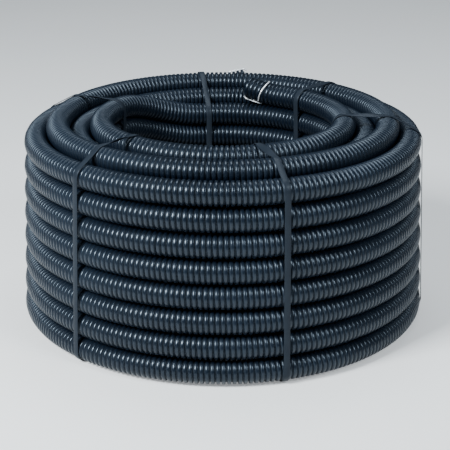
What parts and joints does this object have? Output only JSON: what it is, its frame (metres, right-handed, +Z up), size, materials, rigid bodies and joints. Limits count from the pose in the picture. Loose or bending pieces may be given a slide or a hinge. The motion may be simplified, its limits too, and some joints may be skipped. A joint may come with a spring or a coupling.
{
  "type": "coil of corrugated conduit",
  "caption": "Coil of black corrugated plastic conduit standing on its end, tied with straps, with a draw wire and two open ends.",
  "frame": {"origin": "on the coil's axis, on the floor under the straps", "axes": "+Z up along the coil's axis, -Y to the front of the picture, +X to its right"},
  "size_m": [0.3487, 0.3486, 0.178],
  "materials": {
    "conduit": "satin",
    "strap": "satin",
    "draw_wire": "satin"
  },
  "bodies": {
    "root": {"conduit": "conduit", "draw_wire": "draw_wire", "strap_1": "strap", "strap_2": "strap", "strap_3": "strap", "strap_4": "strap", "strap_5": "strap", "strap_6": "strap"}
  },
  "joints": []
}
